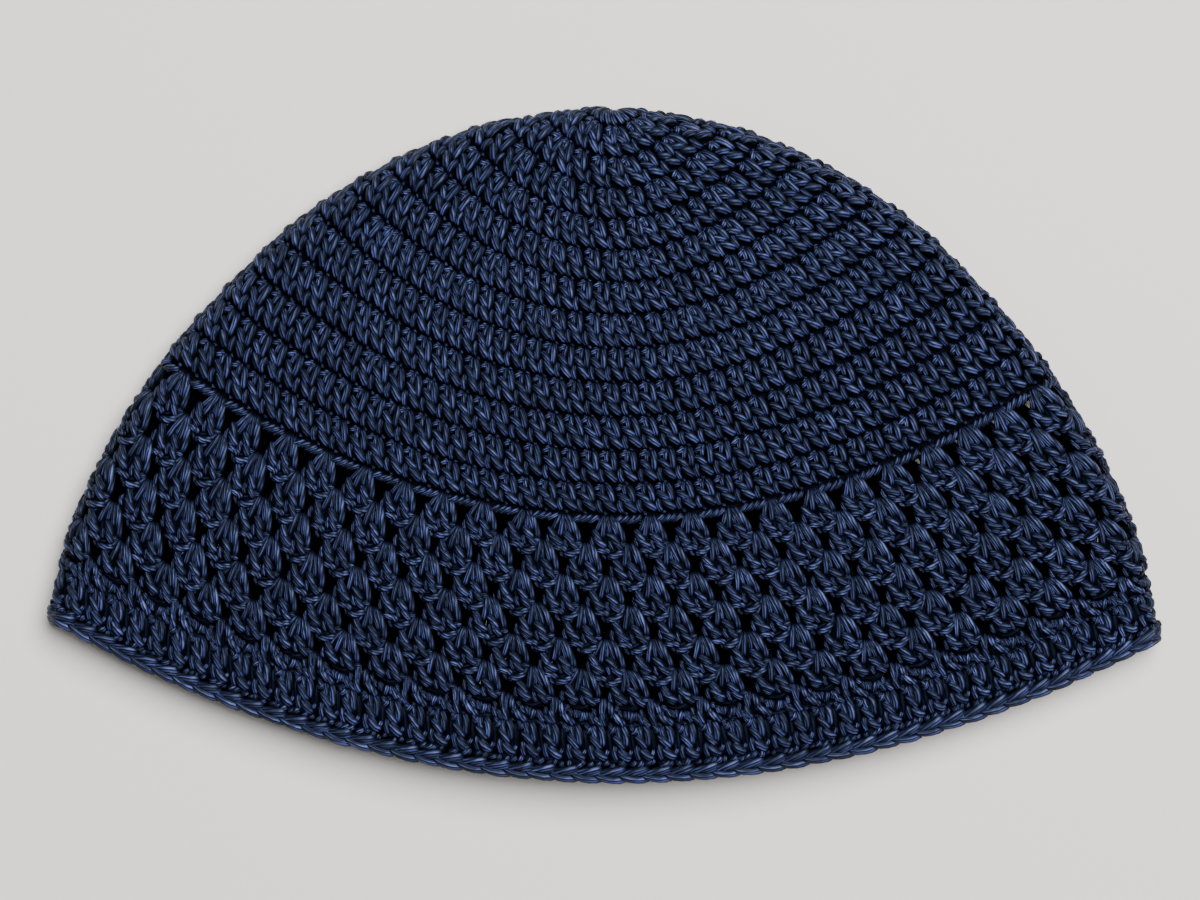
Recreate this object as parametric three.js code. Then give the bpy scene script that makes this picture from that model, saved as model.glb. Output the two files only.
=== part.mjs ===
// A crocheted kufi, a soft round skullcap, laid flat on a table: its crown points to +Y, its open
// rim faces -Y, and a fold runs down each side. The cap is worked in rounds from the crown down:
// a close crown, a band of open shells, a plain hem and a braided edge.
// Millimetres, +Z up. The cap rests on z = 0 and the origin lies under the middle of its box.
import * as THREE from "three";

// Driving dimensions
const CAP_LENGTH = 162.4; // crown tip to rim edge, along the middle of the laid cap
const WALL = 3.4; // thickness of the crocheted fabric
const FOLD_RADIUS = 4.4; // bend of the fabric's middle layer along the folds
const PIECE_GAP = 0.3; // clear space between neighbouring pieces
const EDGE_RADIUS = 2.3; // half the thickness of the braided edge

// Rounds of crochet, by depth below the crown tip along the middle of the cap
const FIRST_ROUND_END = 5.5;
const CROWN_ROUNDS = 13;
const CROWN_END = 98.4;
const SHELL_ROUNDS = 6;
const SHELLS_END = 142.6;
const FILL_ROUND_END = 148.6; // the round that levels the scallops of the last shells
const HEM_END = 157.2; // where the tall stitches stop short of the braided edge

// Relief of the rounds, and the gaps between shells as shares of the distance between two shells
const CROWN_GROOVE = 1.3;
const SHELL_GROOVE = 1.4;
const SHELLS_PER_ROUND = 48;
const PIERCED_ROUNDS = 5;
const GAP_HALF_WIDTH = { top: 0.22, bottom: 0.12 };

// Sections of the laid cap, a row for each. depth: where the round crosses the middle of the cap.
// halfWidth and foldDepth: where it meets the side fold. lift: how far the upper layer arches
// above the lower one there.
const SECTIONS = [
  { depth: 1.7, halfWidth: 0, foldDepth: 1.7, lift: 0 },
  { depth: 2.6, halfWidth: 2.6, foldDepth: 1.8, lift: 5.4 },
  { depth: 5.5, halfWidth: 6.4, foldDepth: 2.3, lift: 8.6 },
  { depth: 20.8, halfWidth: 25.8, foldDepth: 5.7, lift: 11.2 },
  { depth: 35.6, halfWidth: 44.9, foldDepth: 12.4, lift: 13.2 },
  { depth: 58.9, halfWidth: 70.9, foldDepth: 27.6, lift: 15.2 },
  { depth: 83.2, halfWidth: 92.8, foldDepth: 48.6, lift: 16.2 },
  { depth: 98.4, halfWidth: 105.1, foldDepth: 63.3, lift: 16.2 },
  { depth: 120.2, halfWidth: 119.5, foldDepth: 86.7, lift: 15.6 },
  { depth: 142.6, halfWidth: 128.5, foldDepth: 108.6, lift: 14.0 },
  { depth: 162.4, halfWidth: 132.2, foldDepth: 126.7, lift: 12.0 },
];

// Fineness of the faceted surfaces
const COLUMNS = 64; // around the crown, hem and edge
const EDGE_SIDES = 8;
const FOLD_SHARES = [0.008, 0.016, 0.026]; // columns close to a fold, as shares of a half round
const LOOP_SAMPLES = 96; // points along each layer when a round is measured
const NORMAL_STEP = 0.02;

const yarn = (color) => new THREE.MeshStandardMaterial({ color, roughness: 0.62, metalness: 0 });
const MATERIALS = {
  crown: yarn(0x24365f),
  shell_band: yarn(0x26396a),
  hem_band: yarn(0x22335a),
  edge_braid: yarn(0x203056),
};

// A smooth value between the rows of SECTIONS, with no overshoot
function section(depth, column) {
  const last = SECTIONS.length - 1;
  const slope = (i) =>
    (SECTIONS[i + 1][column] - SECTIONS[i][column]) / (SECTIONS[i + 1].depth - SECTIONS[i].depth);
  const tangent = (i) => {
    if (i === 0) return slope(0);
    if (i === last) return slope(last - 1);
    const before = slope(i - 1);
    const after = slope(i);
    return before * after <= 0 ? 0 : (2 * before * after) / (before + after);
  };
  let i = 0;
  while (i < last - 1 && depth > SECTIONS[i + 1].depth) i++;
  const span = SECTIONS[i + 1].depth - SECTIONS[i].depth;
  const s = (depth - SECTIONS[i].depth) / span;
  return (
    (2 * s ** 3 - 3 * s ** 2 + 1) * SECTIONS[i][column] +
    (s ** 3 - 2 * s ** 2 + s) * span * tangent(i) +
    (3 * s ** 2 - 2 * s ** 3) * SECTIONS[i + 1][column] +
    (s ** 3 - s ** 2) * span * tangent(i + 1)
  );
}

// One layer of a round, from the left fold to the right one, as points of the fabric's middle
function layerPoints(depth, upper, base) {
  const halfWidth = section(depth, "halfWidth");
  const lift = section(depth, "lift");
  const drop = depth - section(depth, "foldDepth");
  const radius = Math.min(FOLD_RADIUS, lift / 2, halfWidth);
  const flat = halfWidth - radius;
  const turn = (radius * Math.PI) / 2;
  const middle = base + Math.max(radius, FOLD_RADIUS - lift / 2 + radius);
  const side = upper ? 1 : -1;
  const points = [];
  for (let k = 0; k <= LOOP_SAMPLES; k++) {
    const along = (k / LOOP_SAMPLES) * (2 * turn + 2 * flat);
    const fromEnd = Math.min(along, 2 * turn + 2 * flat - along);
    const angle = Math.min(fromEnd / Math.max(radius, 1e-9), Math.PI / 2);
    const inward = Math.max(0, fromEnd - turn);
    const x = halfWidth - radius * (1 - Math.sin(Math.PI / 2 - angle)) - inward;
    const arch = flat > 0 ? (1 - ((flat - inward) / flat) ** 2) ** 2 : 0;
    const rise = upper ? (lift - 2 * radius) * arch : 0;
    const t = halfWidth > 0 ? x / halfWidth : 0;
    const y = CAP_LENGTH / 2 - depth + drop * t * t;
    const z = middle + side * radius * Math.sin(angle) + rise;
    points.push(new THREE.Vector3(2 * along < 2 * (turn + flat) ? -x : x, y, z));
  }
  return points;
}

// The point a share of the way round: 0 is the left fold, 0.5 the right one, the upper layer first
function roundPoint(depth, share, base = WALL / 2) {
  const whole = ((share % 1) + 1) % 1;
  const upper = whole < 0.5;
  const points = layerPoints(depth, upper, base);
  const lengths = [0];
  for (let k = 1; k < points.length; k++) {
    lengths.push(lengths[k - 1] + points[k].distanceTo(points[k - 1]));
  }
  const wanted = (upper ? 2 * whole : 2 - 2 * whole) * lengths.at(-1);
  let k = 1;
  while (k < points.length - 1 && lengths[k] < wanted) k++;
  const step = lengths[k] - lengths[k - 1];
  return points[k - 1].clone().lerp(points[k], step > 0 ? (wanted - lengths[k - 1]) / step : 0);
}

// The fabric's outward direction
function outward(depth, share, base = WALL / 2) {
  const shareStep = NORMAL_STEP / 20;
  const along = roundPoint(depth, share + shareStep, base).sub(roundPoint(depth, share - shareStep, base));
  const down = roundPoint(depth + NORMAL_STEP, share, base).sub(roundPoint(depth - NORMAL_STEP, share, base));
  return down.cross(along).normalize();
}

// A point at some height over the fabric's middle. Grooves fade where the cap is pressed on the table
function surfacePoint(depth, share, height, groove = 0) {
  const normal = outward(depth, share);
  const pressed = THREE.MathUtils.smoothstep(normal.z, -1, -0.4);
  return roundPoint(depth, share).addScaledVector(normal, height - groove * pressed);
}

// Shares of a round where the columns of a plain piece stand, closer together at the folds
function columnShares() {
  const even = COLUMNS / 4 - FOLD_SHARES.length;
  const start = FOLD_SHARES.at(-1);
  const quarter = [0, ...FOLD_SHARES];
  for (let k = 1; k < even; k++) quarter.push(start + ((0.5 - start) * k) / even);
  const half = [...quarter, 0.5, ...quarter.slice(1).reverse().map((share) => 1 - share)];
  return [...half, ...half.map((share) => share + 1)].map((share) => share / 2);
}

// Collects points and faces, and turns them into a geometry
class Facets {
  constructor() {
    this.points = [];
    this.faces = [];
  }

  ring(points) {
    return points.map((point) => this.points.push(point) - 1);
  }

  quad(a, b, c, d) {
    this.faces.push(a, b, c, a, c, d);
  }

  // A strip between two rings of equal length, seen from outside when the second lies below
  strip(upper, lower, skip = () => false) {
    upper.forEach((corner, k) => {
      const next = (k + 1) % upper.length;
      if (!skip(k)) this.quad(corner, lower[k], lower[next], upper[next]);
    });
  }

  fan(centre, ring) {
    ring.forEach((corner, k) => this.faces.push(centre, corner, ring[(k + 1) % ring.length]));
  }

  geometry() {
    const geometry = new THREE.BufferGeometry().setFromPoints(this.points);
    geometry.setIndex(this.faces);
    geometry.computeVertexNormals();
    return geometry;
  }
}

// Depths of the lines of a ribbed wall: a groove at each end of a round and a crest between them
function ribLines(ends, groove) {
  const lines = [{ depth: ends[0], groove }];
  for (let k = 1; k < ends.length; k++) {
    lines.push({ depth: (ends[k - 1] + ends[k]) / 2, groove: 0 });
    lines.push({ depth: ends[k], groove });
  }
  return lines;
}

function evenEnds(start, end, count) {
  return Array.from({ length: count + 1 }, (_, k) => start + ((end - start) * k) / count);
}

// The close crown: a ribbed dome, shut at its tip
function crownGeometry() {
  const facets = new Facets();
  const shares = columnShares();
  const ends = evenEnds(FIRST_ROUND_END, CROWN_END - PIECE_GAP / 2, CROWN_ROUNDS - 1);
  const ringAt = (depth, height, groove) =>
    facets.ring(shares.map((share) => surfacePoint(depth, share, height, groove)));
  const outer = ribLines(ends, CROWN_GROOVE).map(({ depth, groove }) => ringAt(depth, WALL / 2, groove));
  const inner = ends.filter((_, k) => k % 2 === 0).map((depth) => ringAt(depth, -WALL / 2, 0));
  const tip = roundPoint(SECTIONS[0].depth, 0);
  const [outerTip] = facets.ring([tip.clone().add(new THREE.Vector3(0, WALL / 2, 0))]);
  const [innerTip] = facets.ring([tip.clone().sub(new THREE.Vector3(0, WALL / 2, 0))]);
  facets.fan(outerTip, outer[0]);
  outer.slice(1).forEach((ring, k) => facets.strip(outer[k], ring));
  facets.strip(outer.at(-1), inner.at(-1));
  inner.slice(1).forEach((ring, k) => facets.strip(ring, inner[k]));
  facets.fan(innerTip, [...inner[0]].reverse());
  return facets.geometry();
}

// The band of shells: each round is a row of fans, narrow above and wide below, that stand between
// those of the round above. The gaps beside their narrow ends are cut through, every second one
function shellBandGeometry() {
  const facets = new Facets();
  const cells = 2 * SHELLS_PER_ROUND;
  const top = CROWN_END + PIECE_GAP / 2;
  const roundHeight = (SHELLS_END - PIECE_GAP / 2 - top) / SHELL_ROUNDS;
  const isGap = (round, cell) => (cell + round) % 2 === 1;
  const isOpen = (round, cell) =>
    round < PIERCED_ROUNDS && isGap(round, cell) && (cell + (round % 2) + 2 * (round >> 1)) % 4 < 2;
  const sharesAt = (round, gapHalfWidth) =>
    Array.from({ length: cells }, (_, cell) => {
      const reach = isGap(round, cell) ? gapHalfWidth : 0.5 - gapHalfWidth;
      return (cell / 2 + reach - 0.25) / SHELLS_PER_ROUND;
    });
  const lines = [];
  for (let round = 0; round <= SHELL_ROUNDS; round++) {
    const depth = top + round * roundHeight;
    lines.push({ depth, groove: SHELL_GROOVE, shares: sharesAt(round, GAP_HALF_WIDTH.top) });
    if (round === SHELL_ROUNDS) break;
    const middle = depth + roundHeight / 2;
    lines.push({ depth: middle, groove: 0, shares: sharesAt(round, GAP_HALF_WIDTH.bottom) });
  }
  const rings = (height, relief) =>
    lines.map(({ depth, groove, shares }) =>
      facets.ring(shares.map((share) => surfacePoint(depth, share, height, relief * groove))),
    );
  const outer = rings(WALL / 2, 1);
  const inner = rings(-WALL / 2, 0);
  for (let line = 1; line < lines.length; line++) {
    const round = (line - 1) / 2;
    const open = (k) => line % 2 === 1 && isOpen(round, (k + 1) % cells);
    facets.strip(outer[line - 1], outer[line], open);
    facets.strip(inner[line], inner[line - 1], open);
    for (let k = 0; k < cells; k++) {
      if (!open(k)) continue;
      const next = (k + 1) % cells;
      const [a, b, c, d] = [outer[line - 1][k], outer[line][k], outer[line][next], outer[line - 1][next]];
      const [e, f, g, h] = [inner[line - 1][k], inner[line][k], inner[line][next], inner[line - 1][next]];
      facets.quad(a, b, f, e);
      facets.quad(b, c, g, f);
      facets.quad(c, d, h, g);
      facets.quad(d, a, e, h);
    }
  }
  facets.strip(inner[0], outer[0]);
  facets.strip(outer.at(-1), inner.at(-1));
  return facets.geometry();
}

// The plain hem: a levelling round and a round of tall stitches
function hemBandGeometry() {
  const facets = new Facets();
  const shares = columnShares();
  const ends = [SHELLS_END + PIECE_GAP / 2, FILL_ROUND_END, HEM_END];
  const ringAt = (depth, height, groove) =>
    facets.ring(shares.map((share) => surfacePoint(depth, share, height, groove)));
  const outer = ribLines(ends, CROWN_GROOVE).map(({ depth, groove }) => ringAt(depth, WALL / 2, groove));
  const inner = ends.map((depth) => ringAt(depth, -WALL / 2, 0));
  outer.slice(1).forEach((ring, k) => facets.strip(outer[k], ring));
  inner.slice(1).forEach((ring, k) => facets.strip(ring, inner[k]));
  facets.strip(inner[0], outer[0]);
  facets.strip(outer.at(-1), inner.at(-1));
  return facets.geometry();
}

// The braided edge: a round cord along the rim
function edgeBraidGeometry() {
  const facets = new Facets();
  const depth = CAP_LENGTH - EDGE_RADIUS;
  const shares = columnShares();
  const rings = Array.from({ length: EDGE_SIDES }, (_, side) => {
    const angle = (2 * Math.PI * (side + 0.5)) / EDGE_SIDES;
    const reach = EDGE_RADIUS / Math.cos(Math.PI / EDGE_SIDES);
    return facets.ring(
      shares.map((share) => {
        const normal = outward(depth, share, EDGE_RADIUS);
        const down = roundPoint(depth + NORMAL_STEP, share, EDGE_RADIUS)
          .sub(roundPoint(depth, share, EDGE_RADIUS))
          .normalize();
        return roundPoint(depth, share, EDGE_RADIUS)
          .addScaledVector(normal, reach * Math.cos(angle))
          .addScaledVector(down, reach * Math.sin(angle));
      }),
    );
  });
  rings.forEach((ring, side) => facets.strip(ring, rings[(side + 1) % EDGE_SIDES]));
  return facets.geometry();
}

const GEOMETRIES = {
  crown: crownGeometry,
  shell_band: shellBandGeometry,
  hem_band: hemBandGeometry,
  edge_braid: edgeBraidGeometry,
};

const kufi = new THREE.Group();
for (const [name, geometry] of Object.entries(GEOMETRIES)) {
  const piece = new THREE.Mesh(geometry(), MATERIALS[name]);
  piece.name = name;
  kufi.add(piece);
}

export default kufi;
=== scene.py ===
"""A crocheted kufi laid flat, seen from straight above: every stitch is made of strands of yarn that
lie on the surface of the folded cap. Lengths are in millimetres until a mesh is written."""

import math

import bpy
import numpy as np
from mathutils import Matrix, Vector


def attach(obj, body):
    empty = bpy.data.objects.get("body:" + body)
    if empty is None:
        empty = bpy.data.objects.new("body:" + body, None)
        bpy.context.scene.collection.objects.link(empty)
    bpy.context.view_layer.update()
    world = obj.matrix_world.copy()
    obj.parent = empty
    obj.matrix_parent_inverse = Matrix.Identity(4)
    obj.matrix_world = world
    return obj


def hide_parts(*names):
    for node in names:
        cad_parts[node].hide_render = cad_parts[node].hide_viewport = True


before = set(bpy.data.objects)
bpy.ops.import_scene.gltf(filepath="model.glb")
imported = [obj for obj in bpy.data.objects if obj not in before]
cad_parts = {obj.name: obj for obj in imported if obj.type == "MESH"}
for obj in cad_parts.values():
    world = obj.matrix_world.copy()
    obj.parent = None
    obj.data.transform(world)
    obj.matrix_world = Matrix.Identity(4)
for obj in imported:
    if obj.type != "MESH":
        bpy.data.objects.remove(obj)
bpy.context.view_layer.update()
SEED = 7
rng = np.random.default_rng(SEED)
MM_PER_M = 1000

# The laid cap, as in the solids
CAP_LENGTH = 162.4
WALL = 3.4
FOLD_RADIUS = 4.4

# depth: where a round crosses the middle of the cap, below the crown's tip. half_width, fold_depth:
# where it meets the side fold. lift: how far the upper layer arches above the lower one
SECTION_COLUMNS = ("depth", "half_width", "fold_depth", "lift")
SECTIONS = np.array(
    [
        (1.7, 0.0, 1.7, 0.0),
        (2.6, 2.6, 1.8, 5.4),
        (5.5, 6.4, 2.3, 8.6),
        (20.8, 25.8, 5.7, 11.2),
        (35.6, 44.9, 12.4, 13.2),
        (58.9, 70.9, 27.6, 15.2),
        (83.2, 92.8, 48.6, 16.2),
        (98.4, 105.1, 63.3, 16.2),
        (120.2, 119.5, 86.7, 15.6),
        (142.6, 128.5, 108.6, 14.0),
        (162.4, 132.2, 126.7, 12.0),
    ]
)

# Rounds of the crown: depth of their ends, and stitches in each
CROWN_ENDS = (1.9, 5.6, 13.3, 20.8, 28.2, 35.6, 43.2, 51.0, 58.9, 67.1, 75.2, 83.2, 91.2, 98.2)
CROWN_STITCHES = (10, 18, 25, 37, 48, 59, 67, 83, 86, 88, 90, 95, 96)
ROUND_MARGIN = 0.05  # share of a round's height that its stitches leave free above and below
LEAN_LIMIT = 0.2  # how far a stitch may lean towards the one above it, in stitches
LEG_OFFSET = 0.12  # how far left of a stitch's middle the next round grows out of it, in stitches
# How far the crown's stitches slant, in stitches over the height of a round: more towards the right
SLANT_SHARES, SLANTS = (0.06, 0.16, 0.25, 0.42, 0.55, 1.0), (-0.1, 0.0, 0.12, 0.55, 0.5, -0.1)
# The second and third round have broad stitches of full strands, set a little deeper
LOOSE_ROUNDS, LOOSE_FULLNESS, LOOSE_SINK = 2, 1.07, 0.5
# Rounds that are one piece each
CROWN_PIECES = {"crown_top_rounds": (0, 7), "crown_middle_rounds": (7, 10), "crown_foot_rounds": (10, 13)}
# The sheet of painted shade behind the crown's strands: where it starts and ends, how finely it is
# divided, how deep it lies where the cap is level, its thickness and its height above the floor
BACKING_FROM, BACKING_TO = 1.76, 99.2
BACKING_COLUMNS, BACKING_LEVELS = 160, 44
BACKING_SINK, BACKING_THICKNESS, BACKING_CLEARANCE = 0.9, 0.3, 0.05

# Shells: depth of the top of each round, and then of the levelling round below them
SHELL_TOPS = (98.8, 105.3, 112.9, 120.2, 128.2, 135.4, 142.2)
SHELL_HEIGHTS = (6.9, 7.7, 7.5, 7.8, 7.5, 7.4)
SHELL_PHASES = (0.75, 0.25)  # in turn, so that each shell hangs from a gap of the round above
SHELL_PIECES = {"shells_upper": (0, 3), "shells_lower": (3, 6)}
SCALLOPED_ROUNDS = 5  # the levelling round hides the lower edges of the last shells
OPEN_SHARE = 0.1  # how far from a fold the holes of both layers let the floor show
SHELLS = 47  # odd, so that the gaps of the two layers do not lie over each other

# The hem and the edge
LEVEL_HEIGHT = 6.7
TALL_TOP, TALL_END = 148.8, 157.2
TALL_STITCHES = 102
TALL_PHASE = 0.3
BEAD_DEPTH, BEAD_HEIGHT, BEADS = 157.9, 0.6, 330
BRAID_TOP, BRAID_END = 158.2, 162.4

# Strands of one stitch. Each has its points (a, b, c), its width in mm and whether it is plied.
# a: along the round, in stitches. b: down the cap, in rounds. c: outwards from the fabric's middle,
# in mm
CROWN_STITCH = {
    "loop_end": (((-0.54, 0.18, 0.00), (-0.42, 0.09, 0.75), (-0.28, -0.01, 0.00)), 1.45, True),
    "left_leg": (((-0.16, 0.00, -0.40), (-0.17, 0.16, 0.60), (-0.11, 0.36, 0.10)), 1.35, False),
    "long_leg": (((0.02, 0.00, -0.30), (0.24, 0.30, 0.95), (0.36, 0.68, 0.10)), 1.78, False),
    "cross": (((-0.48, 0.33, 0.10), (-0.16, 0.45, 1.15), (0.19, 0.63, 0.30)), 1.72, False),
    "lower_left": (((-0.36, 0.57, 0.10), (-0.33, 0.79, 0.95), (-0.15, 1.02, -0.30)), 1.58, False),
    "lower_right": (((-0.12, 0.62, 0.20), (0.20, 0.78, 1.15), (0.56, 0.97, -0.10)), 2.05, False),
    "groove_dot": (((-0.04, 1.03, -0.50), (0.03, 1.05, 0.10), (0.10, 1.07, -0.50)), 0.80, False),
}
# The crown's first stitches, gathered round its tip
TIP_STITCH = {
    "left": (((-0.42, -0.02, -0.20), (-0.20, 0.50, 0.10), (0.16, 1.06, -0.10)), 1.30, False),
    "right": (((0.02, -0.04, -0.15), (0.32, 0.50, 0.30), (0.62, 1.10, 0.00)), 1.55, False),
}
# Strands that bridge the groove between two rounds where the cap folds
FOLD_RIB = {
    "rib_left": (((-0.40, -0.30, 0.00), (-0.34, 0.00, 0.70), (-0.30, 0.26, 0.00)), 1.40, False),
    "rib_middle": (((-0.06, -0.28, 0.10), (0.00, 0.02, 0.80), (0.05, 0.30, 0.10)), 1.50, False),
    "rib_right": (((0.28, -0.26, 0.00), (0.32, 0.00, 0.70), (0.40, 0.28, 0.00)), 1.40, False),
}
# A shell: a fan of five strands, with the braided tops of its stitches below it
SHELL = {
    "fan_far_left": (((-0.05, 0.00, -0.30), (-0.16, 0.28, 0.70), (-0.25, 0.58, 0.10)), 1.30, False),
    "fan_left": (((-0.02, 0.00, -0.30), (-0.05, 0.38, 1.05), (-0.09, 0.78, 0.10)), 1.50, False),
    "fan_middle": (((0.02, 0.00, -0.30), (0.06, 0.34, 0.70), (0.07, 0.64, 0.00)), 1.15, False),
    "fan_inner": (((0.05, 0.00, -0.30), (0.15, 0.35, 0.95), (0.22, 0.70, 0.10)), 1.30, False),
    "fan_right": (((0.08, 0.00, -0.30), (0.28, 0.44, 1.00), (0.41, 0.96, 0.00)), 1.75, True),
    "left_ear": (((-0.33, 0.50, 0.20), (-0.23, 0.69, 1.10), (-0.11, 0.91, 0.40)), 1.80, False),
    "left_middle": (((-0.30, 0.75, 0.20), (-0.15, 0.91, 1.10), (0.01, 1.06, 0.30)), 1.80, False),
    "left_edge": (((-0.35, 0.70, 0.00), (-0.34, 0.88, 0.60), (-0.30, 1.06, 0.00)), 1.15, False),
    "left_fold": (((-0.24, 0.95, 0.10), (-0.15, 1.05, 0.75), (-0.05, 1.14, 0.10)), 1.15, False),
    "right_ear": (((0.02, 0.61, 0.30), (0.14, 0.75, 1.15), (0.27, 0.93, 0.40)), 1.80, False),
    "right_edge": (((0.05, 0.84, 0.20), (0.07, 0.99, 0.80), (0.13, 1.17, 0.00)), 1.20, False),
    "right_middle": (((0.13, 0.88, 0.30), (0.23, 1.01, 1.05), (0.35, 1.15, 0.20)), 1.65, False),
    "right_knot": (((0.29, 1.00, 0.30), (0.36, 0.98, 0.85), (0.42, 0.98, 0.20)), 1.25, False),
}
# Strands that run down the side folds, over the ends of the shells there
SHELL_FOLD = {
    "fold_upper": (((-0.07, -0.08, 0.10), (-0.02, 0.20, 0.60), (0.02, 0.50, 0.10)), 1.70, False),
    "fold_lower": (((-0.05, 0.42, 0.10), (0.00, 0.70, 0.60), (0.04, 1.00, 0.10)), 1.70, False),
    "fold_over": (((-0.14, 0.16, 0.00), (-0.10, 0.45, 0.50), (-0.08, 0.78, 0.00)), 1.60, False),
    "fold_under": (((0.08, 0.12, 0.00), (0.11, 0.42, 0.50), (0.13, 0.76, 0.00)), 1.60, False),
}
# Broad strands behind a shell
SHELL_BACK = {
    "back_ear": (((-0.27, 0.70, -0.50), (-0.20, 0.95, -0.50), (-0.10, 1.20, -0.50)), 1.60, False),
    "back_left": (((-0.03, 0.00, -0.60), (-0.09, 0.50, -0.50), (-0.15, 1.05, -0.40)), 2.00, False),
    "back_middle": (((0.00, 0.00, -0.70), (0.05, 0.60, -0.50), (0.05, 1.25, -0.50)), 2.30, False),
    "back_right": (((0.03, 0.00, -0.60), (0.19, 0.50, -0.50), (0.29, 1.05, -0.40)), 2.00, False),
    "back_top": (((-0.20, 1.12, -0.50), (0.06, 1.28, -0.60), (0.32, 1.12, -0.50)), 1.60, False),
}
# Strands that broaden the shells of the lower layer, where they are pressed flat
LOWER_SHELL = {
    "spread_left": (((-0.08, 0.00, 0.00), (-0.21, 0.38, 0.00), (-0.29, 0.80, 0.00)), 2.80, False),
    "spread_right": (((0.10, 0.00, 0.00), (0.27, 0.38, 0.00), (0.36, 0.80, 0.00)), 2.40, False),
}
# The lower edge of a shell
SCALLOP = {
    "scallop_left": (((-0.25, 1.27, 0.20), (-0.07, 1.20, 1.10), (0.10, 1.28, 0.60)), 1.65, True),
    "scallop_tail": (((-0.07, 1.27, 0.50), (-0.03, 1.38, 0.75), (0.05, 1.49, 0.10)), 0.80, False),
    "scallop_right": (((0.03, 1.40, 0.50), (0.21, 1.38, 1.15), (0.40, 1.20, 0.50)), 1.80, True),
}
# The chain between two shells of the first round
BAR_PLIES = (0.27, 0.42, 0.57, 0.72)  # where the plies of a chain bar cross it
CHAIN_BAR = {
    f"ply_{a}": (((a - 0.13, 0.26, 0.20), (a, 0.14, 1.05), (a + 0.13, 0.01, 0.30)), 1.30, False)
    for a in BAR_PLIES
}
CHAIN_BAR["core"] = (((0.18, 0.16, -0.30), (0.50, 0.14, 0.10), (0.82, 0.12, -0.30)), 1.70, False)
CHAIN_BAR["end"] = (((-0.24, 0.14, 0.20), (-0.20, 0.14, 0.60), (-0.16, 0.14, 0.20)), 0.80, False)
# The levelling round: a pair of stitches between two shells and a row of knots under each
LEVEL_PAIR = {
    "left_a": (((-0.060, 0.02, -0.20), (-0.055, 0.32, 0.90), (-0.02, 0.64, 0.30)), 1.45, False),
    "left_b": (((0.01, 0.02, -0.20), (0.015, 0.35, 0.90), (0.01, 0.66, 0.30)), 1.10, False),
    "left_c": (((-0.06, 0.52, 0.30), (-0.02, 0.76, 0.95), (0.05, 1.02, -0.10)), 1.75, False),
    "right_a": (((0.07, 0.14, -0.10), (0.15, 0.42, 0.95), (0.22, 0.68, 0.30)), 1.80, True),
    "right_b": (((0.13, 0.54, 0.30), (0.28, 0.76, 0.95), (0.45, 0.98, -0.10)), 1.95, True),
    "foot": (((-0.21, 0.70, 0.20), (-0.13, 0.84, 0.75), (-0.04, 1.00, 0.00)), 1.45, False),
    "knot_1": (((0.23, 0.32, 0.20), (0.26, 0.38, 0.75), (0.29, 0.46, 0.10)), 1.30, False),
    "knot_2": (((0.31, 0.44, 0.20), (0.35, 0.55, 0.85), (0.37, 0.66, 0.10)), 1.30, False),
    "knot_3": (((0.40, 0.48, 0.20), (0.435, 0.59, 0.90), (0.44, 0.71, 0.10)), 1.30, False),
    "knot_4": (((0.49, 0.50, 0.20), (0.50, 0.62, 0.90), (0.50, 0.74, 0.10)), 1.30, False),
    "knot_5": (((0.54, 0.88, 0.10), (0.58, 0.70, 0.90), (0.61, 0.54, 0.20)), 1.50, False),
    "knot_6": (((0.66, 0.52, 0.20), (0.67, 0.66, 0.90), (0.67, 0.80, 0.10)), 1.20, False),
    "knot_7": (((0.71, 0.56, 0.20), (0.75, 0.74, 0.90), (0.81, 0.94, 0.10)), 1.50, False),
    "knot_8": (((0.77, 0.42, 0.20), (0.80, 0.53, 0.80), (0.82, 0.66, 0.10)), 1.20, False),
    "dot_1": (((0.12, 0.94, 0.00), (0.15, 0.95, 0.40), (0.18, 0.96, 0.00)), 0.75, False),
    "dot_2": (((0.30, 1.00, 0.00), (0.33, 1.00, 0.40), (0.36, 1.00, 0.00)), 0.75, False),
    "dot_3": (((0.63, 0.95, 0.00), (0.66, 0.96, 0.40), (0.69, 0.97, 0.00)), 0.75, False),
}
# Strands behind the levelling round
LEVEL_BACK = {
    "pair_back": (((0.10, 0.00, -0.60), (0.12, 0.50, -0.50), (0.16, 0.95, -0.60)), 2.20, False),
    "post_back": (((0.12, -0.10, -0.70), (0.55, 0.10, -0.70), (0.98, -0.10, -0.70)), 2.40, False),
    "knot_back": (((0.30, 0.70, -0.50), (0.66, 0.66, -0.50), (1.00, 0.70, -0.50)), 2.00, False),
    "foot_back": (((-0.10, 0.95, -0.50), (0.40, 0.97, -0.50), (0.95, 0.95, -0.50)), 1.60, False),
}
# A tall stitch of the hem
TALL_STITCH = {
    "loop_end": (((-0.53, 0.00, 0.10), (-0.44, 0.06, 0.70), (-0.34, 0.15, 0.10)), 1.30, False),
    "loop_knot": (((-0.49, 0.22, 0.10), (-0.37, 0.15, 0.80), (-0.25, 0.05, 0.10)), 1.30, False),
    "left_leg": (((-0.17, 0.03, -0.30), (-0.14, 0.19, 0.70), (-0.07, 0.36, 0.10)), 1.60, False),
    "long_leg": (((0.03, 0.01, -0.20), (0.21, 0.26, 1.00), (0.20, 0.62, 0.20)), 1.95, False),
    "cross": (((-0.34, 0.30, 0.20), (-0.08, 0.46, 1.10), (0.17, 0.67, 0.30)), 1.90, False),
    "lower_left": (((-0.27, 0.56, 0.20), (-0.26, 0.77, 0.85), (-0.13, 1.01, -0.20)), 1.60, False),
    "lower_right": (((-0.10, 0.66, 0.30), (0.13, 0.83, 1.10), (0.43, 0.94, 0.10)), 2.30, False),
    "side_fin": (((0.31, 0.84, 0.50), (0.40, 0.79, 0.85), (0.47, 0.70, 0.20)), 1.25, False),
}
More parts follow.
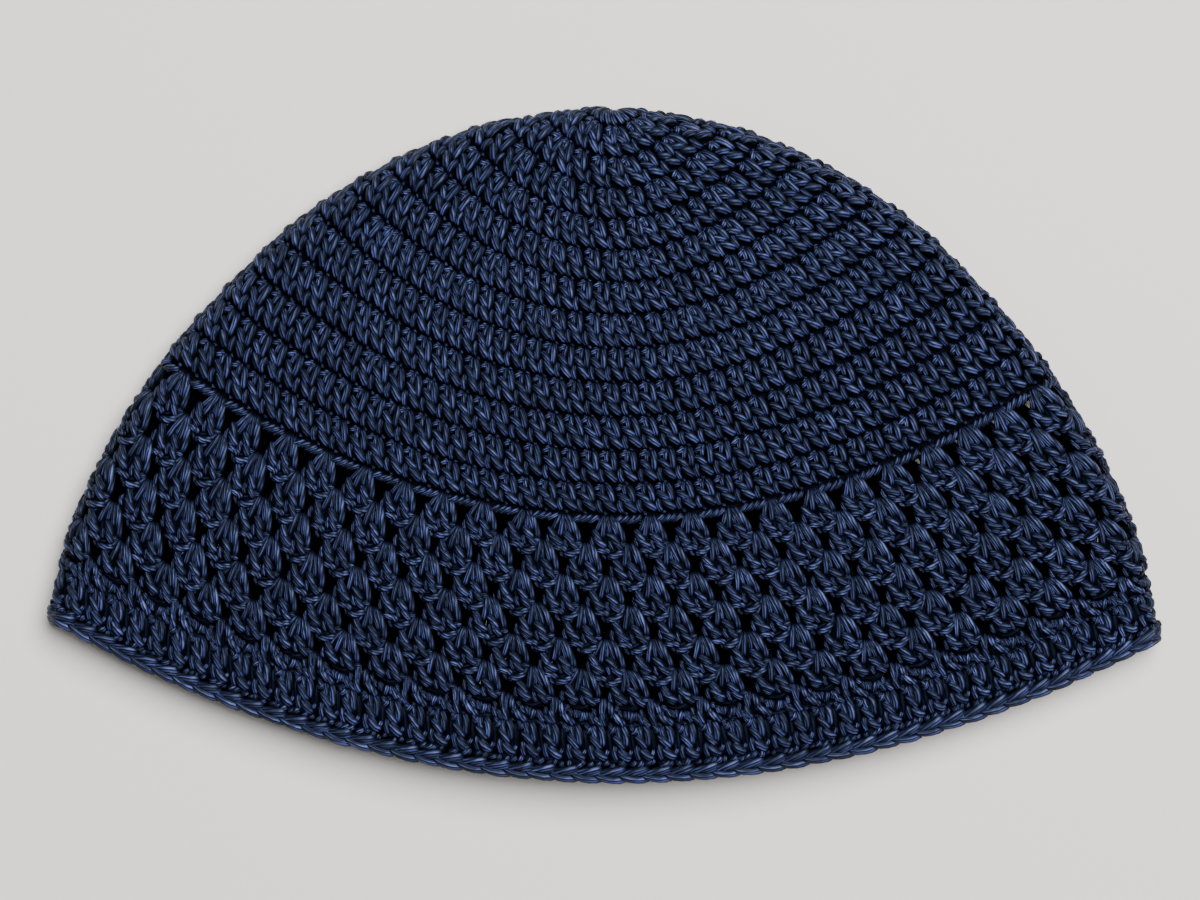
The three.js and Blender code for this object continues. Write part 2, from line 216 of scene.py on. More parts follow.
# Broad strands behind the tall stitches
TALL_BACK = {
    "post_back": (((-0.06, 0.00, -0.50), (0.02, 0.50, -0.50), (0.06, 1.05, -0.50)), 3.00, False),
    "next_back": (((0.46, 0.00, -0.60), (0.50, 0.50, -0.60), (0.54, 1.05, -0.60)), 2.40, False),
    "foot_back": (((-0.55, 1.02, -0.70), (0.00, 1.04, -0.60), (0.55, 1.02, -0.70)), 2.80, False),
}
# A small loop above the edge
BEAD = {
    "bead": (((-0.24, 0.60, 0.50), (0.00, 0.00, 1.35), (0.24, -0.60, 0.50)), 1.30, False),
}
# One link of the braided edge
BRAID_LINK = {
    "upper": (((-0.68, 0.58, 0.10), (-0.04, 0.33, 1.25), (0.56, 0.14, 0.60)), 2.10, False),
    "upper_inner": (((-0.58, 0.66, 0.00), (0.04, 0.48, 1.05), (0.60, 0.26, 0.45)), 1.70, False),
    "lower": (((-0.82, 0.48, 0.30), (-0.15, 0.78, 0.95), (0.60, 0.80, -0.30)), 2.10, False),
}
# The strand behind a link
BRAID_BACK = {
    "back": (((-0.60, 0.50, -0.70), (0.00, 0.40, -0.70), (0.60, 0.50, -0.70)), 1.80, False),
}
# Strands of the braid that turn round the corner where the cap folds
CORNER = {
    "turn_upper": (((1.05, 0.14, 0.40), (0.00, 0.20, 0.75), (-1.05, 0.20, 0.30)), 1.90, False),
    "turn_middle": (((1.05, 0.50, 0.50), (0.00, 0.52, 1.25), (-1.05, 0.52, 0.30)), 1.80, False),
    "turn_lower": (((1.05, 0.90, 0.20), (0.00, 0.89, 0.55), (-1.05, 0.88, 0.20)), 1.90, False),
}

# Fineness of a strand: rings along it and points round it
BROAD, NARROW, HIDDEN = (6, 8), (5, 7), (3, 6)
BROAD_FROM = 1.25  # width
FINE_PAST_FOLD = 0.02  # how far round the folds the fineness of the upper layer goes, as a share
SQUASH = 0.92  # height of a strand over its width
BLUNTNESS = 10  # power of a strand's outline: the higher, the blunter its ends
LOWER_FULLNESS = 1.2  # strands of the lower layer are pressed broad
# A strand is broader where the surface is stretched against the middle line, within these limits
STRETCH_LIMITS, STRETCH_POWER = (0.8, 1.4), 0.4
LEAN_REACH = 1.2  # how far above its foot a stitch goes on leaning, in rounds
FLOOR_CLEARANCE = 0.02  # the lowest that a strand lies

# Scatter of each point of a strand and of a whole strand, in a, b and c, and of its width
POINT_SCATTER = (0.022, 0.016, 0.07)
STRAND_SCATTER = (0.025, 0.012, 0.05)
WIDTH_SCATTER = 0.06
# Scatter of a stitch: its place in stitches, its lean and its depth
PLACE_SCATTER, LEAN_SCATTER, DEPTH_SCATTER = 0.03, 0.05, 0.06
# How much of this scatter each kind of stitch has
STITCH_JITTER, FOLD_JITTER, BRAID_JITTER, BEAD_JITTER = 0.5, 0.7, 0.6, 3.0
LEVEL_BACK_JITTER, TALL_BACK_JITTER = 0.7, 0.8

# The yarn's pattern has TILES x TILES patches, and each strand wears one of them
TILES = 8
PLIED_ROWS = 2  # rows of patches with plied yarn
TILE_MARGIN = 0.02  # what a strand leaves free at each side of its patch
BACKING_CORNERS = ((0.1, 0.1), (0.1, 0.9), (0.9, 0.9), (0.9, 0.1))  # of a backing face in its patch


def section(depth, column):
    """A smooth value between the rows of SECTIONS, with no overshoot."""
    x = SECTIONS[:, 0]
    y = SECTIONS[:, SECTION_COLUMNS.index(column)]
    span = np.diff(x)
    slope = np.diff(y) / span
    both = slope[:-1] * slope[1:]
    inner = np.where(both > 0, 2 * both / np.where(both > 0, slope[:-1] + slope[1:], 1), 0)
    tangent = np.concatenate(([slope[0]], inner, [slope[-1]]))
    i = np.clip(np.searchsorted(x, depth) - 1, 0, len(x) - 2)
    s = (depth - x[i]) / span[i]
    return (
        (2 * s**3 - 3 * s**2 + 1) * y[i]
        + (s**3 - 2 * s**2 + s) * span[i] * tangent[i]
        + (3 * s**2 - 2 * s**3) * y[i + 1]
        + (s**3 - s**2) * span[i] * tangent[i + 1]
    )


class Surface:
    """The middle of the fabric as a grid. A share of 0 is the left fold and 0.5 the right one, with
    the upper layer between them and the lower layer after."""

    FIRST, LAST, STEP = 1.74, 166.0, 0.5
    COLUMNS = 1600
    SAMPLES = 900
    TINY = 1e-6
    LAST_CELL = 1.001  # keeps a place inside the last cell of the grid

    def __init__(self):
        self.depths = np.arange(self.FIRST, self.LAST, self.STEP)
        shares = np.arange(self.COLUMNS) / self.COLUMNS
        self.points = np.array([self.loop(depth, shares) for depth in self.depths])
        down = np.gradient(self.points, axis=0)
        along = np.roll(self.points, -1, axis=1) - np.roll(self.points, 1, axis=1)
        normal = np.cross(down, along)
        self.normals = normal / np.linalg.norm(normal, axis=2, keepdims=True)

    def layer(self, depth, upper):
        """Points of one layer at this depth, from the left fold to the right one."""
        half_width = section(depth, "half_width")
        lift = section(depth, "lift")
        drop = depth - section(depth, "fold_depth")
        radius = min(FOLD_RADIUS, lift / 2, half_width)
        flat = half_width - radius
        turn = radius * math.pi / 2
        along = np.linspace(0, 2 * (turn + flat), self.SAMPLES)
        from_end = np.minimum(along, 2 * (turn + flat) - along)
        angle = np.minimum(from_end / radius, math.pi / 2)
        inward = np.maximum(0, from_end - turn)
        x = half_width - radius * (1 - np.cos(angle)) - inward
        arch = (1 - ((flat - inward) / max(flat, self.TINY)) ** 2) ** 2
        z = WALL / 2 + max(radius, FOLD_RADIUS - lift / 2 + radius)
        z = z + (1 if upper else -1) * radius * np.sin(angle)
        if upper:
            z = z + (lift - 2 * radius) * np.clip(arch, 0, 1)
        y = CAP_LENGTH / 2 - depth + drop * (x / half_width) ** 2
        x = np.where(along < turn + flat, -x, x)
        return np.stack((x, y, z), axis=1)

    def loop(self, depth, shares):
        """Points all round the cap at this depth, evenly spaced on each layer."""
        out = np.empty((len(shares), 3))
        for upper in (True, False):
            points = self.layer(depth, upper)
            steps = np.linalg.norm(np.diff(points, axis=0), axis=1)
            lengths = np.concatenate(([0], np.cumsum(steps)))
            lengths /= lengths[-1]
            mine = shares < 0.5 if upper else shares >= 0.5
            wanted = 2 * shares[mine] if upper else 2 - 2 * shares[mine]
            for axis in range(3):
                out[mine, axis] = np.interp(wanted, lengths, points[:, axis])
        return out

    def at(self, share, depth):
        """Points and outward normals at these places."""
        column = np.mod(share, 1) * self.COLUMNS
        row = np.clip((depth - self.FIRST) / self.STEP, 0, len(self.depths) - self.LAST_CELL)
        j0 = np.floor(column).astype(int) % self.COLUMNS
        j1 = (j0 + 1) % self.COLUMNS
        i0 = np.floor(row).astype(int)
        fj = (column - np.floor(column))[..., None]
        fi = (row - i0)[..., None]

        def mix(grid):
            upper = grid[i0, j0] * (1 - fj) + grid[i0, j1] * fj
            lower = grid[i0 + 1, j0] * (1 - fj) + grid[i0 + 1, j1] * fj
            return upper * (1 - fi) + lower * fi

        normal = mix(self.normals)
        return mix(self.points), normal / np.linalg.norm(normal, axis=-1, keepdims=True)


surface = Surface()


class Yarn:
    """Collects strands and writes them as one mesh."""

    def __init__(self):
        self.blocks = []

    def add(self, pattern, share, pitch, depth, height, lean=0.0, slant=0.0, hidden=False, jitter=1.0):
        """One strand of each kind in pattern for each stitch. share, pitch, depth and height are
        arrays: where the stitches stand, and how wide and high they are."""
        count = len(share)
        fullness = LOWER_FULLNESS if hidden else 1
        for points, width, plied in pattern.values():
            fineness = HIDDEN if hidden else BROAD if width >= BROAD_FROM else NARROW
            control = np.repeat(np.array(points)[None], count, axis=0)
            control += jitter * rng.normal(0, 1, control.shape) * POINT_SCATTER
            control += jitter * rng.normal(0, 1, (count, 1, 3)) * STRAND_SCATTER
            above_foot = np.clip(1 - control[..., 1], 0, LEAN_REACH)
            control[..., 0] += np.reshape(lean, (-1, 1)) * above_foot**2
            control[..., 0] += np.reshape(slant, (-1, 1)) * (0.5 - control[..., 1])
            widths = width * fullness * (1 + WIDTH_SCATTER * jitter * rng.normal(0, 1, count))
            self.sweep(control, widths, share, pitch, depth, height, plied, fineness)

    def sweep(self, control, widths, share, pitch, depth, height, plied, fineness):
        """Lays tubes along curves through the control points, and gives each one a patch of yarn."""
        rings, sides = fineness
        count, knots = control.shape[:2]
        s = 0.5 - 0.5 * np.cos(np.linspace(0, math.pi, rings + 2))
        nodes = np.linspace(0, 1, knots)
        basis = np.ones((len(s), knots))
        for i in range(knots):
            for j in range(knots):
                if i != j:
                    basis[:, i] *= (s - nodes[j]) / (nodes[i] - nodes[j])
        local = np.einsum("sk,mkx->msx", basis, control)
        middle, normal = surface.at(
            share[:, None] + local[..., 0] * pitch[:, None],
            depth[:, None] + local[..., 1] * height[:, None],
        )
        middle = middle + local[..., 2:3] * normal
        tangent = np.gradient(middle, axis=1)
        tangent /= np.linalg.norm(tangent, axis=2, keepdims=True)
        side = np.cross(tangent, normal)
        side /= np.linalg.norm(side, axis=2, keepdims=True)
        up = np.cross(side, tangent)
        profile = np.sqrt(np.clip(1 - np.abs(2 * s - 1) ** BLUNTNESS, 0, 1))
        radius = widths[:, None] / 2 * profile[None, :]
        corners = [surface.at(share, depth + part * height)[0] for part in (0.0, 1.0)]
        stretch = np.linalg.norm(corners[1] - corners[0], axis=1) / np.abs(height)
        radius *= np.clip(stretch, *STRETCH_LIMITS)[:, None] ** STRETCH_POWER
        turn = math.pi / 2 + 2 * math.pi * np.arange(sides) / sides
        across = (radius[:, 1:-1, None] * np.cos(turn))[..., None]
        upward = (SQUASH * radius[:, 1:-1, None] * np.sin(turn))[..., None]
        tube = middle[:, 1:-1, None] + across * side[:, 1:-1, None] + upward * up[:, 1:-1, None]
        vertices = np.concatenate(
            (middle[:, :1], tube.reshape(count, rings * sides, 3), middle[:, -1:]), axis=1
        )
        vertices[..., 2] = np.maximum(vertices[..., 2], FLOOR_CLEARANCE)
        first_row, rows = (0, PLIED_ROWS) if plied else (PLIED_ROWS, TILES - PLIED_ROWS)
        column = rng.integers(0, TILES, count)
        row = first_row + rng.integers(0, rows, count)
        self.blocks.append((vertices, np.stack((column, row), axis=1), s, rings, sides))

    def mesh(self, name):
        """All strands as one object."""
        points, quads, triangles, quad_uv, triangle_uv = [], [], [], [], []
        start = 0
        for vertices, tile, s, rings, sides in self.blocks:
            count, each = vertices.shape[:2]
            first = start + each * np.arange(count)[:, None, None]
            start += each * count
            quad, quad_place, triangle, triangle_place = strand_faces(s, rings, sides)
            points.append(vertices.reshape(-1, 3))
            quads.append((first + quad).reshape(-1, 4))
            triangles.append((first + triangle).reshape(-1, 3))
            quad_uv.append(on_patches(tile, quad_place))
            triangle_uv.append(on_patches(tile, triangle_place))
        return write_mesh(
            name,
            np.concatenate(points),
            np.concatenate(quads),
            np.concatenate(triangles),
            np.concatenate(quad_uv + triangle_uv),
        )


def strand_faces(s, rings, sides):
    """The quads along a strand and the triangles that close its ends, as numbers of its points, each
    followed by the places of its corners along and round the strand."""
    ring, spoke = np.meshgrid(np.arange(rings - 1), np.arange(sides), indexing="ij")
    ring, spoke = ring.ravel(), spoke.ravel()
    after = (spoke + 1) % sides
    here, below = 1 + ring * sides, 1 + (ring + 1) * sides
    quads = np.stack((here + spoke, here + after, below + after, below + spoke), axis=1)
    u = np.stack((s[ring + 1], s[ring + 1], s[ring + 2], s[ring + 2]), axis=1)
    v = np.stack((spoke, spoke + 1, spoke + 1, spoke), axis=1) / sides
    quad_places = np.stack((u, v), axis=2)
    spoke = np.arange(sides)
    after = (spoke + 1) % sides
    last_ring, last_point = 1 + (rings - 1) * sides, 1 + rings * sides
    head = np.stack((np.zeros_like(spoke), 1 + after, 1 + spoke), axis=1)
    tail = np.stack((np.full_like(spoke, last_point), last_ring + spoke, last_ring + after), axis=1)
    end_places = []
    for u, turns in (((s[0], s[1], s[1]), (0.5, 1, 0)), ((s[-1], s[-2], s[-2]), (0.5, 0, 1))):
        v = (spoke[:, None] + np.array(turns)) / sides
        end_places.append(np.stack((np.tile(u, (sides, 1)), v), axis=2))
    return quads, quad_places, np.concatenate((head, tail)), np.concatenate(end_places)


def on_patches(tile, places):
    """Map coordinates of these places on the patch of each strand."""
    inset = TILE_MARGIN + (1 - 2 * TILE_MARGIN) * places
    return (tile[:, None, None, :] + inset[None]).reshape(-1, 2)


def write_mesh(name, points, quads, triangles, uv):
    """An object of these faces, in metres, with its pattern places and a map for baking."""
    mesh = bpy.data.meshes.new(name)
    corners = np.concatenate((quads.ravel(), triangles.ravel()))
    quad_starts = 4 * np.arange(len(quads))
    triangle_starts = 4 * len(quads) + 3 * np.arange(len(triangles))
    starts = np.concatenate((quad_starts, triangle_starts))
    mesh.vertices.add(len(points))
    mesh.vertices.foreach_set("co", (points / MM_PER_M).ravel())
    mesh.loops.add(len(corners))
    mesh.loops.foreach_set("vertex_index", corners.astype(np.int32))
    mesh.polygons.add(len(starts))
    mesh.polygons.foreach_set("loop_start", starts.astype(np.int32))
    mesh.update(calc_edges=True)
    mesh.validate()
    mesh.shade_smooth()
    for layer, scale in (("strand", 1.0), ("OFBake", 1.0 / TILES)):
        places = (uv * scale).astype(np.float32).ravel()
        mesh.uv_layers.new(name=layer).uv.foreach_set("vector", places)
    thing = bpy.data.objects.new(name, mesh)
    bpy.context.scene.collection.objects.link(thing)
    return thing


def round_of(
    yarn, pattern, count, top, height, phase=0.0, lean=0.0, slant=0.0,
    jitter=STITCH_JITTER, inside=False, lower_only=False, clear=0.0,
):
    """A full round of one kind of stitch, finer on the upper layer. inside: coarse all round, because
    other strands hide it. clear: how near a fold the lower layer has none, as a share."""
    share = (np.arange(count) + phase) / count
    share = share + jitter * rng.normal(0, PLACE_SCATTER, count) / count
    lean = lean + jitter * rng.normal(0, LEAN_SCATTER, count)
    slant = slant + np.zeros(count)
    tops = top + jitter * rng.normal(0, DEPTH_SCATTER, count)
    turned = np.mod(share, 1)
    upper = (turned < 0.5 + FINE_PAST_FOLD) | (turned > 1 - FINE_PAST_FOLD)
    from_fold = np.abs((2 * share + 0.5) % 1 - 0.5) / 2
    layers = [(~upper & (from_fold >= clear), True)]
    if not lower_only:
        layers.insert(0, (upper, inside))
    for mine, hidden in layers:
        pitch = np.full(mine.sum(), 1 / count)
        heights = np.full(mine.sum(), height)
        yarn.add(pattern, share[mine], pitch, tops[mine], heights, lean[mine], slant[mine], hidden, jitter)
    return share


def at_fold(yarn, pattern, count, depth, height):
    """Strands at the left and the right fold alone."""
    folds = np.array((0.0, 0.5))
    ones = np.ones(2)
    yarn.add(pattern, folds, ones / count, depth * ones, height * ones, jitter=FOLD_JITTER)


def backing(name):
    """A thin closed sheet in the middle of the crown: a stand-in for the loops that the outer strands
    hide, and for the shade in the gaps between them.
    """
    columns, levels = BACKING_COLUMNS, BACKING_LEVELS
    depths = np.linspace(BACKING_FROM, BACKING_TO, levels)
    share, depth = np.meshgrid(np.arange(columns) / columns, depths)
    middle, normal = surface.at(share, depth)
    sink = BACKING_SINK * np.abs(normal[..., 2:3])
    sheets = [middle + (c - sink) * normal for c in (0.0, -BACKING_THICKNESS)]
    points = np.concatenate([sheet.reshape(-1, 3) for sheet in sheets])
    points[:, 2] = np.maximum(points[:, 2], BACKING_CLEARANCE)
    row, column = np.meshgrid(np.arange(levels - 1), np.arange(columns), indexing="ij")
    row, column = row.ravel(), column.ravel()
    after = (column + 1) % columns
    here, below = row * columns, (row + 1) * columns
    outer = np.stack((here + column, below + column, below + after, here + after), axis=1)
    to_inner = columns * levels
    inner = outer[:, ::-1] + to_inner
    edge = np.arange(columns)
    next_edge = (edge + 1) % columns
    ends = []
    for line, way in ((0, 1), ((levels - 1) * columns, -1)):
        left, right = line + edge, line + next_edge
        end = np.stack((left, right, right + to_inner, left + to_inner), axis=1)
        ends.append(end[:, ::way])
    quads = np.concatenate((outer, inner, *ends))
    number = np.arange(len(quads))
    tile = np.stack((number % TILES, PLIED_ROWS + number % (TILES - PLIED_ROWS)), axis=1)
    uv = np.repeat(tile, 4, axis=0) + np.tile(BACKING_CORNERS, (len(quads), 1))
    return write_mesh(name, points, quads, np.zeros((0, 3), int), uv)


def loosened(pattern):
    """The pattern with fuller strands, set deeper."""
    return {
        name: ([(a, b, c - LOOSE_SINK) for a, b, c in line], LOOSE_FULLNESS * width, plied)
        for name, (line, width, plied) in pattern.items()
    }


def crown_rounds(yarn, first, last, above):
    """Rounds of the crown. Each stitch leans so that its legs come out of one of the round above."""
    for k in range(first, last):
        count = CROWN_STITCHES[k]
        phase = rng.random()
        own = (np.arange(count) + phase) / count
        lean = 0.0
        if above is not None:
            away = (own[:, None] - above[None, :] + 0.5) % 1 - 0.5
            nearest = np.argmin(np.abs(away), axis=1)
            lean = np.clip(-away[np.arange(count), nearest] * count, -LEAN_LIMIT, LEAN_LIMIT)
        height = CROWN_ENDS[k + 1] - CROWN_ENDS[k]
        top = CROWN_ENDS[k] + ROUND_MARGIN * height
        pattern = CROWN_STITCH if k else TIP_STITCH
        if 0 < k <= LOOSE_ROUNDS:
            pattern = loosened(pattern)
        slant = np.interp(own % 1, SLANT_SHARES, SLANTS)
        share = round_of(yarn, pattern, count, top, (1 - 2 * ROUND_MARGIN) * height, phase, lean, slant)
        at_fold(yarn, FOLD_RIB, count, CROWN_ENDS[k + 1], height)
        above = np.mod(share - LEG_OFFSET / count, 1)
    return above


# The look of the yarn: filaments round a strand, how many of them further round it ends than it
# starts, and how far they wander
RIDGES = 7
TWIST, PLIED_TWIST = -0.9, 2.6
WANDER_NOISE, WANDER = {"Scale": 2.6, "Detail": 1.0}, 0.6
# Brightness: a base, and what is added by chance to a filament and to a strand
BASE, FILAMENT_CHANCE, STRAND_CHANCE = 0.55, 0.22, 0.14
# Painted shade: it falls to a least share in the grooves between filaments, on the flanks and at the
# ends of a strand, and leaves its top and middle lighter as a painted highlight. Each has the span over
# which it goes from that least share to all of it
GROOVE_SHADE_SPAN, GROOVE_SHADE_LEAST = (0.05, 0.70), 0.36
FLANK_SHADE_SPAN, FLANK_SHADE_LEAST = (0.42, 0.80), 0.04
END_SHADE_SPAN, END_SHADE_LEAST = (0.00, 0.20), 0.35
FINE_LINES = 0.06  # strength of a second set of lines, twice as fine
CONTRAST = 3.6
DARK_AT, LIGHT_AT = 0.03, 0.90  # where the dark and the light colour of the yarn are reached
GROOVE_DEPTH = 0.00014  # m
ROUGHNESS, RIDGE_GLOSS = 0.60, 0.14
SHINE_TINT = (0.48, 0.62, 1.0, 1)


def nodes_of(material):
    material.use_nodes = True
    tree = material.node_tree
    tree.nodes.clear()
    return tree


class Maker:
    """Adds shader nodes to a tree and links them."""

    def __init__(self, tree):
        self.tree = tree

    def node(self, kind, inputs=None, **settings):
        node = self.tree.nodes.new(kind)
        for name, value in settings.items():
            setattr(node, name, value)
        for key, value in (inputs or {}).items():
            socket = node.inputs[key]
            if isinstance(value, bpy.types.NodeSocket):
                self.tree.links.new(value, socket)
            else:
                socket.default_value = value
        return node

    def math(self, operation, a, b=0.0):
        return self.node("ShaderNodeMath", {0: a, 1: b}, operation=operation).outputs[0]

    def chance(self, place, dimensions):
        """A number from 0 to 1 for each place."""
        return self.node(
            "ShaderNodeTexWhiteNoise", {"Vector": place}, noise_dimensions=dimensions
        ).outputs[0]

    def spread(self, value, low, high):
        """0 up to low, 1 from high on, and smooth between."""
        inputs = {"Value": value, "From Min": low, "From Max": high}
        return self.node("ShaderNodeMapRange", inputs, interpolation_type="SMOOTHSTEP").outputs[0]


def yarn_material(name, dark, light, shine):
    """Navy yarn with a soft shine: fine filaments run along each strand, with painted shade in the grooves
    between them, on a strand's flanks and towards its ends.
    """
    material = bpy.data.materials.new(name)
    make = Maker(nodes_of(material))
    place = make.node("ShaderNodeUVMap", uv_map="strand").outputs[0]
    split = make.node("ShaderNodeSeparateXYZ", {0: place})
    column, row = (make.math("FLOOR", split.outputs[k]) for k in (0, 1))
    u, v = (make.math("FRACT", split.outputs[k]) for k in (0, 1))

    # phase counts the filaments, and lobe is 1 on top of each of them
    wander = make.node(
        "ShaderNodeTexNoise", {"Vector": place, **WANDER_NOISE}, noise_dimensions="2D"
    ).outputs[0]
    plied = make.math("LESS_THAN", row, PLIED_ROWS)
    twist = make.math("ADD", TWIST, make.math("MULTIPLY", plied, PLIED_TWIST - TWIST))
    phase = make.math("ADD", make.math("MULTIPLY", v, RIDGES), make.math("MULTIPLY", wander, WANDER))
    phase = make.math("ADD", phase, make.math("MULTIPLY", u, twist))
    lobe = make.math("COSINE", make.math("MULTIPLY", phase, math.tau))
    lobe = make.math("ADD", 0.5, make.math("MULTIPLY", lobe, 0.5))
    fine = make.math("COSINE", make.math("MULTIPLY", phase, 2.0 * math.tau))

    # painted shade: darker in the grooves between filaments, with a second, finer set of painted grooves
    groove_shade = make.math("ADD", make.spread(lobe, *GROOVE_SHADE_SPAN), make.math("MULTIPLY", fine, FINE_LINES))
    # painted shade on a strand's flanks, which leaves its top lighter as a painted highlight
    flank_shade = make.spread(make.math("COSINE", make.math("MULTIPLY", v, math.tau)), *FLANK_SHADE_SPAN)
    # painted shade towards a strand's ends, where it dives under others, and a painted highlight along its
    # middle
    ends = make.spread(make.math("MULTIPLY", u, make.math("SUBTRACT", 1.0, u)), *END_SHADE_SPAN)
    number = make.math("FLOOR", make.math("ADD", phase, 0.5))
    filament = make.node("ShaderNodeCombineXYZ", {0: number, 1: column, 2: row}).outputs[0]
    tile = make.node("ShaderNodeCombineXYZ", {0: column, 1: row}).outputs[0]
    shade = make.math("MULTIPLY", make.chance(filament, "3D"), FILAMENT_CHANCE)
    tone = make.math("MULTIPLY", make.chance(tile, "2D"), STRAND_CHANCE)
    mixed = make.math("ADD", make.math("ADD", shade, tone), BASE)
    for part, least in ((groove_shade, GROOVE_SHADE_LEAST), (flank_shade, FLANK_SHADE_LEAST), (ends, END_SHADE_LEAST)):
        share = make.math("ADD", least, make.math("MULTIPLY", part, 1.0 - least))
        mixed = make.math("MULTIPLY", mixed, share)
    mixed = make.math("POWER", mixed, CONTRAST)

    ramp = make.node("ShaderNodeValToRGB", {0: mixed})
    for element, position, colour in zip(ramp.color_ramp.elements, (DARK_AT, LIGHT_AT), (dark, light)):
        element.position = position
        element.color = (*colour, 1)
    bump = make.node("ShaderNodeBump", {"Strength": 1.0, "Distance": GROOVE_DEPTH, "Height": lobe})
    rough = make.math("SUBTRACT", ROUGHNESS, make.math("MULTIPLY", lobe, RIDGE_GLOSS))
    shader = make.node(
        "ShaderNodeBsdfPrincipled",
        {
            "Base Color": ramp.outputs[0],
            "Roughness": rough,
            "Normal": bump.outputs[0],
            "Specular IOR Level": shine,
            "Specular Tint": SHINE_TINT,
        },
    )
    make.node("ShaderNodeOutputMaterial", {"Surface": shader.outputs[0]})
    return material


FLOOR_COLOUR, FLOOR_ROUGHNESS = (0.63, 0.610, 0.585, 1), 0.8


def floor_material():
    material = bpy.data.materials.new("pale_floor")
    make = Maker(nodes_of(material))
    shader = make.node(
        "ShaderNodeBsdfPrincipled", {"Base Color": FLOOR_COLOUR, "Roughness": FLOOR_ROUGHNESS}
    )
    make.node("ShaderNodeOutputMaterial", {"Surface": shader.outputs[0]})
    return material


# The yarn, in its dark and its light colour with its shine. The hem's copy is painted lighter, as painted
# light, and the copy for the strands and sheet inside the fabric is painted almost black, as painted shade
NAVY = yarn_material("navy_yarn", (0.0003, 0.0005, 0.0020), (0.062, 0.078, 0.235), 0.35)
HEM_NAVY_PAINTED_LIGHT = yarn_material("navy_yarn_hem_painted_light", (0.0003, 0.0005, 0.0020), (0.072, 0.091, 0.272), 0.35)
INNER_NAVY_PAINTED_SHADE = yarn_material("navy_yarn_inner_painted_shade", (0.0004, 0.0006, 0.0018), (0.0054, 0.0078, 0.0230), 0.05)


def finish_piece(thing, node, material=NAVY):
    thing.data.materials.append(material)
    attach(thing, "root")
    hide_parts(node)


# The crown, in pieces of a few rounds each
above = None
for name, (first, last) in CROWN_PIECES.items():
    yarn = Yarn()
    above = crown_rounds(yarn, first, last, above)
    finish_piece(yarn.mesh(name), "crown")
# the sheet wears the almost black copy of the yarn: painted shade in the gaps of the crown
finish_piece(backing("crown_backing"), "crown", INNER_NAVY_PAINTED_SHADE)

# The shells
inner = Yarn()
for name, (first, last) in SHELL_PIECES.items():
    yarn = Yarn()
    for k in range(first, last):
        where = (SHELLS, SHELL_TOPS[k], SHELL_HEIGHTS[k], SHELL_PHASES[k % 2])
        round_of(yarn, SHELL, *where)
        at_fold(yarn, SHELL_FOLD, SHELLS, SHELL_TOPS[k], SHELL_HEIGHTS[k])
        round_of(inner, SHELL_BACK, *where, inside=True)
        round_of(inner, LOWER_SHELL, *where, lower_only=True, clear=OPEN_SHARE)
        if k < SCALLOPED_ROUNDS:
            round_of(yarn, SCALLOP, *where)
        if k == 0:
            round_of(yarn, CHAIN_BAR, *where)
    finish_piece(yarn.mesh(name), "shell_band")
# the strands behind and below the shells wear the almost black copy of the yarn: painted shade
finish_piece(inner.mesh("shells_inner_loops"), "shell_band", INNER_NAVY_PAINTED_SHADE)

# The hem
yarn, inner = Yarn(), Yarn()
where = (SHELLS, SHELL_TOPS[-1], LEVEL_HEIGHT, SHELL_PHASES[0])
round_of(yarn, LEVEL_PAIR, *where)
round_of(inner, LEVEL_BACK, *where, jitter=LEVEL_BACK_JITTER, inside=True)
where = (TALL_STITCHES, TALL_TOP, TALL_END - TALL_TOP, TALL_PHASE)
round_of(yarn, TALL_STITCH, *where)
round_of(inner, TALL_BACK, *where, jitter=TALL_BACK_JITTER, inside=True)
# the hem wears the lighter copy of the yarn: painted light
finish_piece(yarn.mesh("hem_rounds"), "hem_band", HEM_NAVY_PAINTED_LIGHT)
# the strands behind the hem wear the almost black copy of the yarn: painted shade
finish_piece(inner.mesh("hem_inner_loops"), "hem_band", INNER_NAVY_PAINTED_SHADE)

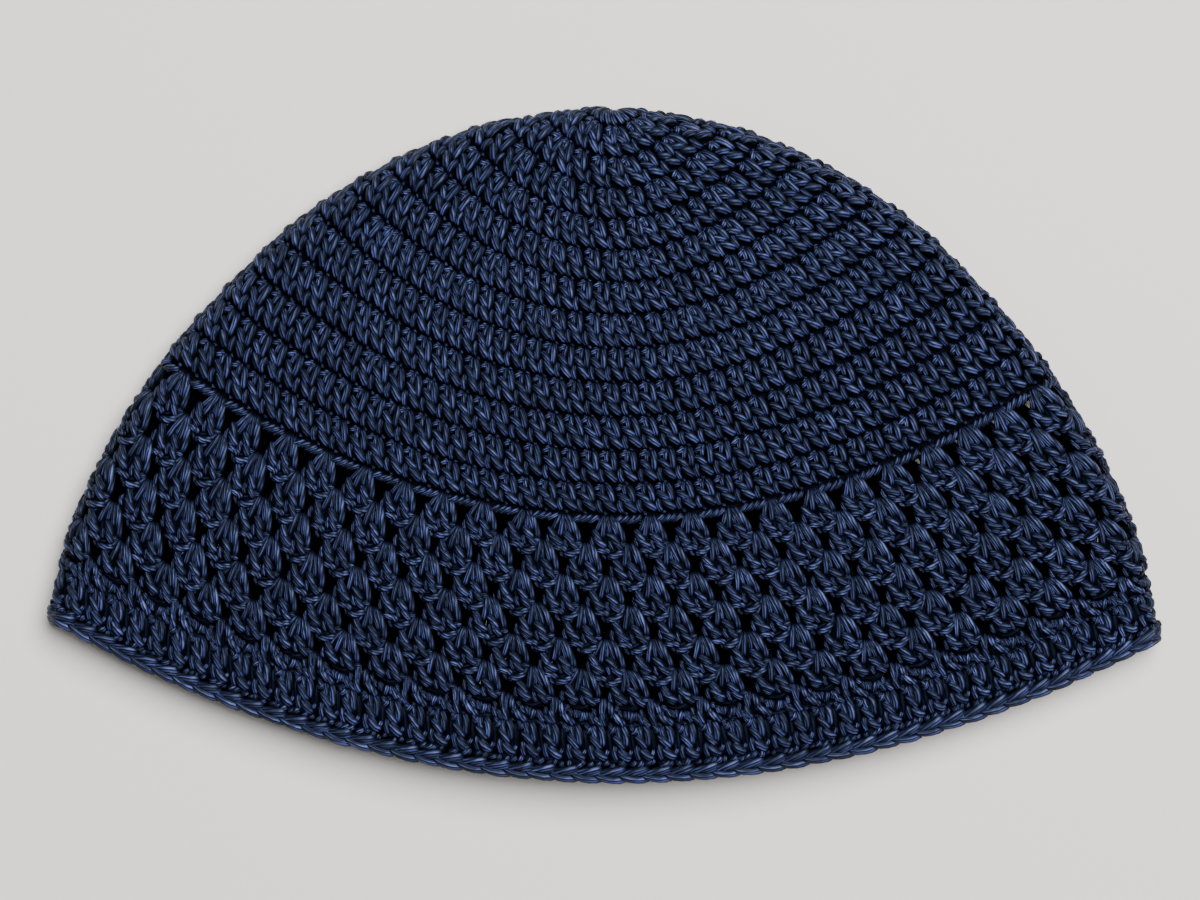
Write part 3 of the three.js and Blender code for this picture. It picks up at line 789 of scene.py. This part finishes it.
# The braided edge
yarn = Yarn()
round_of(yarn, BEAD, BEADS, BEAD_DEPTH, BEAD_HEIGHT, jitter=BEAD_JITTER)
where = (TALL_STITCHES, BRAID_TOP, BRAID_END - BRAID_TOP)
round_of(yarn, BRAID_LINK, *where, jitter=BRAID_JITTER)
round_of(yarn, BRAID_BACK, *where, jitter=BRAID_JITTER, inside=True)
at_fold(yarn, CORNER, *where)
finish_piece(yarn.mesh("edge_links"), "edge_braid")

# Floor and light, in metres and watts
FLOOR_SIZE, FLOOR_DROP = 6, 0.0001
SKY_STRENGTH = 0.08
LAMPS = {"key": ((0.46, 0.52, 1.6), 1.4, 95), "fill": ((-0.9, -0.5, 1.3), 1.2, 3)}  # place, size, power

bpy.ops.mesh.primitive_plane_add(size=FLOOR_SIZE, location=(0, 0, -FLOOR_DROP))
floor = bpy.context.object
floor.name = "floor"
floor.data.materials.append(floor_material())

world = bpy.data.worlds.new("studio")
bpy.context.scene.world = world
world.use_nodes = True
sky = world.node_tree.nodes["Background"]
sky.inputs["Color"].default_value = (1, 1, 1, 1)
sky.inputs["Strength"].default_value = SKY_STRENGTH

for name, (place, size, power) in LAMPS.items():
    light = bpy.data.lights.new(name, "AREA")
    light.shape = "DISK"
    light.size = size
    light.energy = power
    lamp = bpy.data.objects.new(name, light)
    lamp.location = place
    lamp.rotation_euler = (-Vector(place)).to_track_quat("-Z", "Y").to_euler()
    bpy.context.scene.collection.objects.link(lamp)

# The photo is taken from straight above. Its frame is 1200 px wide, 0.24 mm each
FRAME_PX, MM_PER_PX = 1200, 0.24
FRAME_WIDTH = FRAME_PX * MM_PER_PX / MM_PER_M
PHOTO_CENTRE = (-1.80 / MM_PER_M, -2.04 / MM_PER_M)
CAMERA_HEIGHT = 1.2
OUTLINE_HEIGHT = 0.006
CAMERA_ROLL = 0.019  # the cap lies a little askew in the photo
SENSOR_WIDTH = 36
camera = bpy.data.objects.new("camera", bpy.data.cameras.new("camera"))
camera.data.sensor_width = SENSOR_WIDTH
camera.data.lens = SENSOR_WIDTH * (CAMERA_HEIGHT - OUTLINE_HEIGHT) / FRAME_WIDTH
camera.location = (*PHOTO_CENTRE, CAMERA_HEIGHT)
camera.rotation_euler = (0, 0, CAMERA_ROLL)
bpy.context.scene.collection.objects.link(camera)
bpy.context.scene.camera = camera
